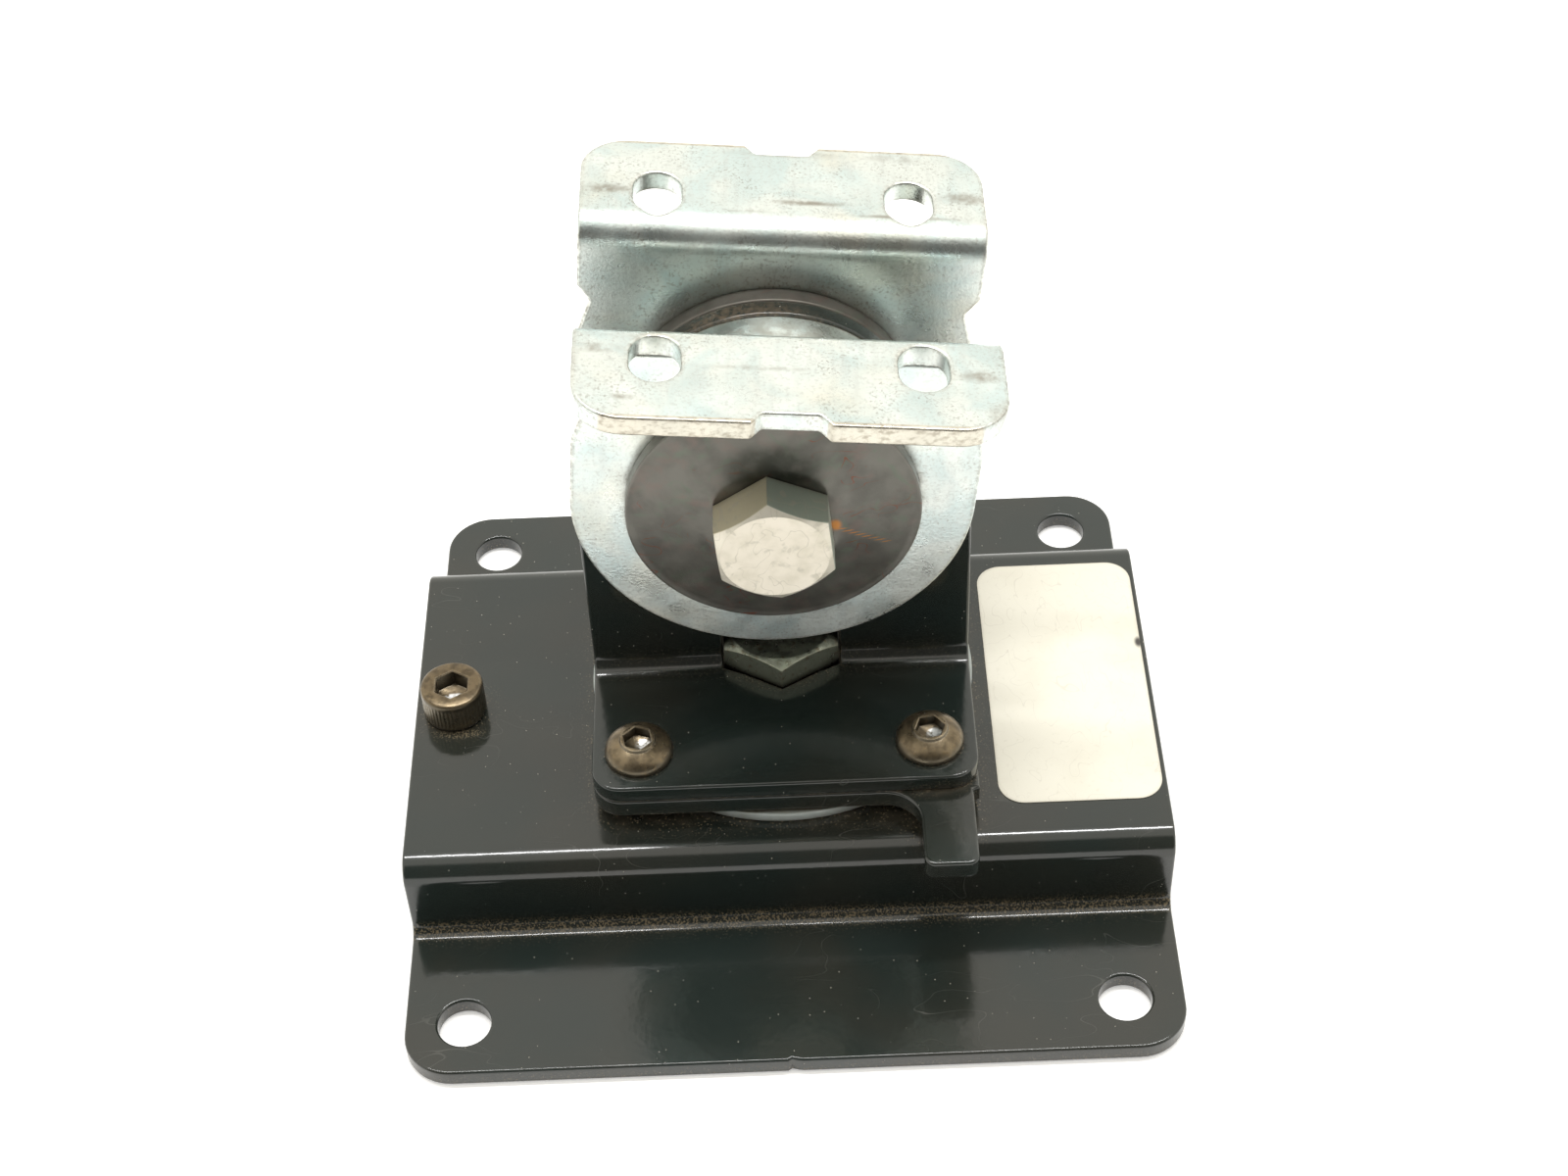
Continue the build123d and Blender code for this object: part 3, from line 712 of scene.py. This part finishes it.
# ---- Yoke ----------------------------------------------------------------
# Two angles of 3 mm steel stand back to back: feet outwards on the leg
# plate, ears upwards. Each is cut with a six-sided window for the pivot head,
# folded, and powder coated black. Screws hold the feet to the leg plate.
yoke_sheet = 0.003
yoke_bend_r = 0.0028 + yoke_sheet / 2
ear_top_r = 0.0215
shoulder_up = 0.0274
window_flats, window_room, window_r = 0.0184, 0.0014, 0.0004
foot_hole_d, ear_hole_d = 0.0065, 0.0102
crown_steps = 30
tilt_at = Vector(frame["joints"][1]["pos_m"])
ear_tops = [((tilt_at.x - 0.004, tilt_at.y, tilt_at.z + 0.0195), (0.018, 0.010, 0.0055))]
black_yoke = powder_coat("black_coat_yoke", 0.5, 0.3, ear_tops)


def yoke_form(node, side):
    """One angle, laid out flat from the edge of its foot to the top of its ear, then folded.
    The ear's straight sides run on to touch its round top."""
    low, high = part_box(node)
    half, foot_bottom = high.x, low.z
    edge_y = low.y if side < 0 else high.y
    ear_mid_y = (high.y if side < 0 else low.y) + side * yoke_sheet / 2
    foot = abs(ear_mid_y - edge_y) - yoke_bend_r
    bend = yoke_bend_r * pi / 2
    up_from = foot_bottom + yoke_sheet / 2 + yoke_bend_r
    runs = [(foot, 0), (bend, pi / 2), (high.z - up_from, 0)]

    def flat_of(z):
        return foot + bend + z - up_from

    axis_s, shoulder_s = flat_of(tilt_at.z), flat_of(foot_bottom + yoke_sheet + shoulder_up)
    away = hypot(half, axis_s - shoulder_s)
    lean_in = atan2(shoulder_s - axis_s, half)
    touch = lean_in + (pi / 2 - atan2(ear_top_r, sqrt(away**2 - ear_top_r**2)))
    crown = []
    for k in range(crown_steps + 1):
        a = touch + (pi - 2 * touch) * k / crown_steps
        crown.append((ear_top_r * cos(a), axis_s + ear_top_r * sin(a), 0))
    outline = rounded([(-half, 0, corner_r), (half, 0, corner_r), (half, shoulder_s, 0)] + crown
                      + [(-half, shoulder_s, 0)])
    half_flats = window_flats / 2
    tip = abs(pivot_at.y - edge_y) - window_flats / sqrt(3)
    window_top = flat_of(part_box("pivot_bolt")[1].z + window_room)
    top_corners = [(half_flats, window_top, window_r), (-half_flats, window_top, window_r)]
    if side < 0:
        wide = tip + half_flats / sqrt(3)
        window = [(0, tip, 0), (half_flats, wide, 0)] + top_corners + [(-half_flats, wide, 0)]
    else:
        wide = tip + 0.0016
        window = [(0, tip, 0), (0.0025, tip + 0.0015, 0), (half_flats, wide, 0)] + top_corners
        window += [(-half_flats, wide, 0), (-0.0025, tip + 0.0015, 0)]
    holes = [rounded(window), round_hole(-screw_x, screw_in, foot_hole_d),
             round_hole(screw_x, screw_in, foot_hole_d), round_hole(0, axis_s, ear_hole_d)]
    form = fold(cut_blank(outline, holes, yoke_sheet, coated_ease), yoke_sheet,
                (0, foot_bottom + yoke_sheet / 2), (1, 0), runs)
    if side > 0:
        form.transform(Matrix.Rotation(pi, 4, "Z"))
    form.transform(Matrix.Translation((0, edge_y, 0)))
    return form


for node, name, side in (("yoke_front", "yoke_front_angle", -1),
                         ("yoke_rear", "yoke_rear_angle", 1)):
    angle = made_of(name, yoke_form(node, side), black_yoke)
    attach(angle, "swivel")
    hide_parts(node)

# ---- Yoke screws ---------------------------------------------------------
# Four M6 button head screws of blackened steel. They go through the feet of
# the yoke into tapped holes of the leg plate. Keys have worn their sockets bright.
button_low, button_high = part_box("yoke_screws")
button_seat = leg_high.z + yoke_sheet
button_r, button_h = 0.00525, button_high.z - button_seat
button_end = button_low.z - button_seat
button_d, button_pitch = 0.006, 0.001
button_key, button_key_deep = 0.004, 0.0019
button_rim, button_turns = 0.14, (12, -20, 31, 5)
button_spots = [(x, y) for y in screw_ys for x in (-screw_x, screw_x)]
button_bare = [((x + 0.0006, y, button_high.z - 0.0020), (0.0016, 0.0016, 0.0006))
               for x, y in button_spots]
button_finish = black_oxide("yoke_screw_oxide", (0.185, 0.145, 0.090), (0.13, 0.112, 0.080),
                            button_bare)
for k, (x, y) in enumerate(button_spots):
    dome = [(button_r * cos(a) * (1 - 0.04 * sin(a)), button_h * (0.14 + 0.86 * sin(a)))
            for a in (radians(8 * j) for j in range(1, 8))]
    button = spun(
        [(0, button_end), (0.0024, button_end), (0.0028, button_end + 0.0004)]
        + screw_thread(button_d, button_pitch, button_end + 0.0005, -0.0006, 96)
        + [(button_d / 2, 0), (button_r - 0.0002, 0), (button_r, 0.0002),
           (button_r, button_h * button_rim)]
        + dome + [(button_r * 0.50, button_h * 0.985), (0.0024, button_h)]
        + with_socket(button_h, button_key, button_key_deep), 96)
    turned = Matrix.Rotation(radians(button_turns[k]), 4, "Z")
    screw = made_of(f"yoke_button_screw_{k + 1}", button, button_finish,
                    Matrix.Translation((x, y, button_seat)) @ turned, 40)
    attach(screw, "swivel")
    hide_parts("yoke_screws")


# ---- Pivot bolt ----------------------------------------------------------
# An M12 hex bolt is the swivel axle. The yoke's window grips its head, and
# under the ridge a washer, two disc springs and a thin nut set the friction.
def hex_head(flats, height, rise=0.0):
    """Rows of a hex head: flat seat at z = 0, corners trimmed by the crown chamfer at the top."""
    crown = flats * 0.47

    def trimmed(share, drop):
        def row(a):
            radius = hex_reach(flats / 2, a)
            return (radius + (crown - radius) * share,
                    height - (radius - crown) * chamfer_slope * (1 - share) - drop)
        return row
    return [six_sided(flats, 0, 0.00015), six_sided(flats, 0.00015), trimmed(0, 0.00022),
            trimmed(0.06, 0.00003), (crown + 0.0001, height - 0.00006),
            (crown - 0.0002, height - rise), (crown * 0.5, height - rise * 0.6),
            (0, height - rise * 0.5)]


bolt_low, bolt_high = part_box("pivot_bolt")
bolt_seat = leg_high.z
bolt_end = bolt_low.z - bolt_seat
pivot_d, pivot_pitch, pivot_threaded, pivot_flats = 0.012, 0.00175, 0.0105, 0.018
pivot_form = spun(
    [(0, bolt_end), (0.0046, bolt_end), (0.0050, bolt_end + 0.0003)]
    + screw_thread(pivot_d, pivot_pitch, bolt_end + 0.0004, bolt_end + pivot_threaded, 120)
    + [(pivot_d / 2, bolt_end + 0.011), (pivot_d / 2, 0)]
    + hex_head(pivot_flats, bolt_high.z - bolt_seat), 120)
pivot = made_of("pivot_hex_bolt", pivot_form,
                black_oxide("pivot_bolt_oxide", (0.40, 0.43, 0.35), (0.33, 0.36, 0.29)),
                Matrix.Translation((pivot_at.x, pivot_at.y, bolt_seat)), 28)
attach(pivot, "swivel")
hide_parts("pivot_bolt")
backing = made_of("pressure_washer_plain", washer_form("pressure_washer", 0.0125, 0.0002),
                  zinc_plating("pressure_washer_zinc"), on_pivot("pressure_washer"))
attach(backing, "swivel")
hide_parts("pressure_washer")
frame["nodes"]["swivel_springs"].material_slots[0].material = dark_steel(
    "spring_steel", (0.16, 0.15, 0.14), 0.3)
lock_low, lock_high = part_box("pivot_nut")
lock = made_of("pivot_lock_nut", hex_nut(0.018, lock_high.z - lock_low.z, 0.0121),
               backing.data.materials[0], on_pivot("pivot_nut"))
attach(lock, "swivel")
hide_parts("pivot_nut")

# ---- Spacer and friction washers -----------------------------------------
# A thick zinc plated disc keeps the two ears apart. Outside each ear a dark
# friction washer rubs on a cheek, so that the head stays where it is put.
face_out = next(m for m in frame["record"]["mounts"] if m["name"] == "display_face_front")["axis"]
head_place = (Matrix.Translation(tilt_at)
              @ Matrix.Rotation(atan2(face_out[0], face_out[2]), 4, "Y"))


def on_tilt_bolt(start):
    """The place of a turned piece on the tilt bolt, from start towards the rear."""
    return head_place @ Matrix.Translation((0, start, 0)) @ Matrix.Rotation(-pi / 2, 4, "X")


def start_of(node):
    """How far along the tilt bolt a node starts, from the middle of the head."""
    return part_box(node)[0].y - tilt_at.y


# Painted shade on top of the spacer, where it lies under the flanges, laid on as a mark.
spacer_top_shade = [((tilt_at.x, tilt_at.y, tilt_at.z + 0.021), (0.020, 0.006, 0.005), 0.75)]
spacer = made_of("ear_spacer", washer_form("tilt_spacer", 0.0102, 0.0004),
                 zinc_plating("spacer_zinc", spacer_top_shade, streaks=0.3),
                 on_tilt_bolt(start_of("tilt_spacer")))
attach(spacer, "swivel")
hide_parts("tilt_spacer")
friction_play = 0.00002
friction_steel = dark_steel("friction_steel", (0.118, 0.109, 0.094), 0.25)
for node, name, set_back in (("front_friction_washer", "front_friction_disc", friction_play),
                             ("rear_friction_washer", "rear_friction_disc", 0)):
    disc = made_of(name, washer_form(node, 0.0102, 0.0004, friction_play), friction_steel,
                   on_tilt_bolt(start_of(node) + set_back))
    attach(disc, "swivel")
    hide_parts(node)

# ---- Cheeks --------------------------------------------------------------
# Two plated steel pressings clamp the ears between them. Each hangs round
# the tilt bolt and is folded outwards at the top into a slotted flange for
# the display plate. Rubbing has left grey marks on both flanges.
cheek_sheet = 0.0032
cheek_half = 0.0295
cheek_bend_r = 0.0015 + cheek_sheet / 2
flange_top = 0.0314
flange_corner = 0.0070
slot_wide, slot_long, slot_apart = 0.0070, 0.0092, 0.0365
bite_in, bite_lead, bite_long, bite_down = 0.0019, 0.0028, 0.0098, 0.0110
notch_open, notch_floor, notch_deep = 0.0108, 0.0078, 0.0020
cheek_ease, cheek_hole_d, arc_steps = 0.0004, 0.0105, 60


def cheek_form(node, side):
    """One cheek, laid out flat from the bottom of its arc to its flange's edge, then folded."""
    low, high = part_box(node)
    inner = (high.y if side < 0 else low.y) - tilt_at.y
    reach = abs((low.y if side < 0 else high.y) - tilt_at.y)
    wall = abs(inner) + cheek_sheet / 2
    straight = flange_top - cheek_sheet / 2 - cheek_bend_r
    bend = cheek_bend_r * pi / 2
    flange = reach - wall - cheek_bend_r
    end = cheek_half + straight + bend + flange
    arc = [(cheek_half * cos(a), cheek_half + cheek_half * sin(a), 0)
           for a in (pi + pi * k / arc_steps for k in range(arc_steps + 1))]
    bite_top = cheek_half + flange_top - bite_down
    bite = [(cheek_half, bite_top - bite_long, 0.0060),
            (cheek_half - bite_in, bite_top - bite_lead, 0.0010), (cheek_half, bite_top, 0.0006)]
    notch = [(notch_open / 2, end, 0.0006), (notch_floor / 2, end - notch_deep, 0.0010),
             (-notch_floor / 2, end - notch_deep, 0.0010), (-notch_open / 2, end, 0.0006)]
    corners = arc + bite + [(cheek_half, end, flange_corner)] + notch
    corners += [(-cheek_half, end, flange_corner)] + [(-x, s, r) for x, s, r in reversed(bite)]
    outline = rounded(corners, 8)
    slot_mid = cheek_half + straight + bend + slot_apart / 2 - wall - cheek_bend_r
    half_w, half_l = slot_wide / 2, slot_long / 2
    slot_corners = ((-half_w, -half_l), (half_w, -half_l), (half_w, half_l), (-half_w, half_l))
    slots = [rounded([(x + dx, slot_mid + ds, half_w * 0.999) for dx, ds in slot_corners])
             for x in (-slot_apart / 2, slot_apart / 2)]
    holes = slots + [round_hole(0, cheek_half, cheek_hole_d)]
    runs = [(cheek_half + straight, 0), (bend, pi / 2), (flange, 0)]
    form = fold(cut_blank(outline, holes, cheek_sheet, cheek_ease), cheek_sheet,
                (0, -cheek_half), (0, 1), runs)
    if side > 0:
        form.transform(Matrix.Rotation(pi, 4, "Z"))
    form.transform(Matrix.Translation((0, side * wall, 0)))
    return form


def on_flange(x, y, long, wide, strength):
    """A rub mark on a flange, x and y from the middle of the head."""
    return tuple(head_place @ Vector((x, y, flange_top))), (long, wide, 0.004), strength


front_marks = [on_flange(-0.0265, -0.0165, 0.0048, 0.0014, 1.0),
               on_flange(0.0260, -0.0195, 0.0045, 0.0018, 1.0),
               on_flange(-0.0040, -0.0195, 0.0110, 0.0007, 0.5),
               on_flange(0.0285, -0.0270, 0.0030, 0.0040, 0.6),
               on_flange(-0.0225, -0.0262, 0.0022, 0.0009, 0.8)]
rear_marks = [on_flange(-0.0255, 0.0185, 0.0050, 0.0017, 1.0),
              on_flange(0.0035, 0.0170, 0.0090, 0.0009, 1.0),
              on_flange(0.0262, 0.0195, 0.0045, 0.0022, 1.0),
              on_flange(0.0005, 0.0285, 0.0120, 0.0012, 0.5),
              on_flange(0.0170, 0.0285, 0.0080, 0.0014, 0.45),
              on_flange(0.0165, 0.0146, 0.0125, 0.0006, 0.9),
              on_flange(-0.0060, 0.0146, 0.0050, 0.0005, 0.8)]
for node, name, side, marks in (("front_cheek", "front_cheek_pressing", -1, front_marks),
                                ("rear_cheek", "rear_cheek_pressing", 1, rear_marks)):
    cut_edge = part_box(node)[0 if side < 0 else 1].y
    cheek = made_of(name, cheek_form(node, side),
                    zinc_plating(node + "_zinc", marks, sheared=cut_edge), head_place)
    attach(cheek, "head")
    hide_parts(node)

# ---- Cap washers ---------------------------------------------------------
# A dished disc of dark steel lies under the bolt head at the front, and a flat
# one under the springs at the rear. Rust has bloomed beside the bolt head.
cap_low, cap_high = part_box("front_cap_washer")
cap_r, cap_flat_r, cap_rim, cap_sheet = 0.0215, 0.010, 0.001, 0.0024
cap_bore, cap_ease = 0.0105, 0.0003
dish = cap_high.y - cap_low.y - cap_sheet


def on_cap(x, inward, up):
    """A spot on the front of the cap disc, from the middle of the bolt."""
    return tuple(head_place @ Vector((x, start_of("front_cap_washer") + inward, up)))


rust = [(0.0089, 0.0001, 0.0012, 0.0015)]
rust += [(0.0098 + 0.0010 * k, -0.0006 - 0.0005 * k, 0.0012, 0.00014) for k in range(8)]
rust_marks = [(on_cap(x, 0.0004, up), (long, 0.0025, tall)) for x, up, long, tall in rust]
# Painted shade on the cap disc just above the bolt head.
shade_patches = [(on_cap(-0.0006, 0, 0.0105), (0.0095, 0.003, 0.0058))]
caps = dark_steel("cap_steel", (0.140, 0.136, 0.121), 0.75, rust_marks, 0.28, shade_patches)
dished = spun(rounded([
    (cap_bore / 2, 0, cap_ease), (cap_flat_r, 0, 0.006), (cap_r - cap_rim, dish, 0.005),
    (cap_r, dish, cap_ease), (cap_r, dish + cap_sheet, cap_ease),
    (cap_r - cap_rim, dish + cap_sheet, 0.001), (cap_flat_r, cap_sheet, 0.002),
    (cap_bore / 2, cap_sheet, cap_ease)], 30), 160)
flat = washer_form("rear_cap_washer", cap_bore, cap_ease)
for node, name, cap_form in (("front_cap_washer", "front_cap_disc", dished),
                             ("rear_cap_washer", "rear_cap_disc", flat)):
    cap = made_of(name, cap_form, caps, on_tilt_bolt(start_of(node)))
    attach(cap, "head")
    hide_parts(node)

# ---- Tilt bolt, springs and nut ------------------------------------------
# An M10 hex bolt of matt pale plating goes through the whole head. At the
# rear two disc springs and a nut clamp it, and a few threads stand proud.
tilt_d, tilt_pitch, tilt_threaded = 0.010, 0.0015, 0.014
tilt_flats, tilt_head_h, tilt_turn = 0.0165, 0.0068, 10.5
tilt_seat = start_of("front_cap_washer")
tilt_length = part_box("tilt_bolt")[1].y - tilt_at.y - tilt_seat
face_pale, face_buff, shaded_side_green = (0.76, 0.715, 0.62), (0.67, 0.63, 0.53), (0.38, 0.42, 0.36)
lit_side_straw, face_spotted, face_scored = (0.56, 0.51, 0.37), (0.42, 0.40, 0.33), (0.50, 0.47, 0.39)
edge_brown, bolt_corner_shade = (0.36, 0.33, 0.25), (0.16, 0.14, 0.10)
plating = Finish("tilt_bolt_plating")
# Painted light and shade: faces towards the front take the pale face colour, and the side facets a darker green,
# turning straw where they face up and to the left.
face = plating.over(face_pale, face_buff, plating.clouds(0.0028, 0.4, 0.7, 5))
lit_and_shaded_sides = plating.over(shaded_side_green, lit_side_straw, plating.facing((-0.7, 0, 0.7), 0.35, 0.85))
face = plating.over(lit_and_shaded_sides, face, plating.facing((0, -1, 0), 0.6, 0.92))
face = plating.over(face, face_spotted, plating.worn(plating.clouds(0.0016, 0.56, 0.74, 5), 0.5))
face = plating.over(face, face_scored, plating.worn(plating.hairs(0.004, 0.010), 0.5))
face = plating.over(face, edge_brown, plating.worn(plating.edges(0.0007), 0.4))
# Painted shade in the corners under the head and among the threads.
face = plating.over(face, bolt_corner_shade, plating.nooks(0.003, 0.7, 0.3))
plated = plating.done(face, plating.level(plating.grain(0.002, 4), 0.40, 0.55),
                      plating.relief(plating.grain(0.0012, 5), 0.00003), 0.7)
tilt_form = spun(
    [(0, -tilt_length), (0.0036, -tilt_length), (0.0041, -tilt_length + 0.0004)]
    + screw_thread(tilt_d, tilt_pitch, -tilt_length + 0.0005, -tilt_length + tilt_threaded, 120)
    + [(tilt_d / 2, -tilt_length + 0.0145), (tilt_d / 2, 0)]
    + hex_head(tilt_flats, tilt_head_h, 0.00008), 120)
tilt = made_of("tilt_hex_bolt", tilt_form, plated,
               head_place @ Matrix.Translation((0, tilt_seat, 0)) @ Matrix.Rotation(pi / 2, 4, "X")
               @ Matrix.Rotation(radians(tilt_turn), 4, "Z"), 28)
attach(tilt, "head")
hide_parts("tilt_bolt")
frame["nodes"]["tilt_springs"].material_slots[0].material = bpy.data.materials["spring_steel"]
clamp_low, clamp_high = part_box("tilt_nut")
clamp = made_of("tilt_clamp_nut", hex_nut(0.016, clamp_high.y - clamp_low.y, 0.0101), plated,
                on_tilt_bolt(start_of("tilt_nut")))
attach(clamp, "head")
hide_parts("tilt_nut")

# ---- Studio --------------------------------------------------------------
# A pale paper floor that glows a little, a long narrow light overhead and a
# warm white room that is darker towards the front.
floor_reach, floor_drop = 2.5, 0.0002
paper_white, paper_shade = (0.82, 0.82, 0.815), (0.79, 0.79, 0.785)
floor_form = bmesh.new()
bmesh.ops.create_grid(floor_form, x_segments=8, y_segments=8, size=floor_reach)
paper_floor = Finish("floor_paper", Emission_Strength=0.36, Emission_Color=(1, 1, 1))
paper_tone = paper_floor.over(paper_white, paper_shade, paper_floor.clouds(0.004))
floor = made_of("floor", floor_form, paper_floor.done(paper_tone, 0.9),
                Matrix.Translation((0, 0, plate_low.z - floor_drop)))


def soft_light(name, at, aim, wide, deep, watts):
    """A rectangular soft light at one point, aimed at another."""
    lamp = bpy.data.objects.new(name, bpy.data.lights.new(name, "AREA"))
    lamp.data.shape = "RECTANGLE"
    lamp.data.size, lamp.data.size_y, lamp.data.energy = wide, deep, watts
    lamp.location = at
    lamp.rotation_euler = (Vector(aim) - Vector(at)).to_track_quat("-Z", "Y").to_euler()
    scene.collection.objects.link(lamp)


soft_light("overhead", (0.0, 0.10, 1.0), (0, 0, 0.05), 0.9, 0.05, 7.5)
room = bpy.data.worlds.new("room")
room.use_nodes = True
scene.world = room
air = room.node_tree
sight = air.nodes.new("ShaderNodeTexCoord").outputs["Generated"]
split = air.nodes.new("ShaderNodeSeparateXYZ")
air.links.new(sight, split.inputs[0])
front = air.nodes.new("ShaderNodeMapRange")
front.interpolation_type = "SMOOTHSTEP"
bright_room, dark_front = 1.30, 0.15
for socket, value in (("From Min", -0.42), ("From Max", -0.62),
                      ("To Min", bright_room), ("To Max", dark_front)):
    front.inputs[socket].default_value = value
air.links.new(split.outputs["Y"], front.inputs["Value"])
air.links.new(front.outputs["Result"], air.nodes["Background"].inputs["Strength"])
warm_white = (1.0, 0.963, 0.88, 1)
air.nodes["Background"].inputs["Color"].default_value = warm_white
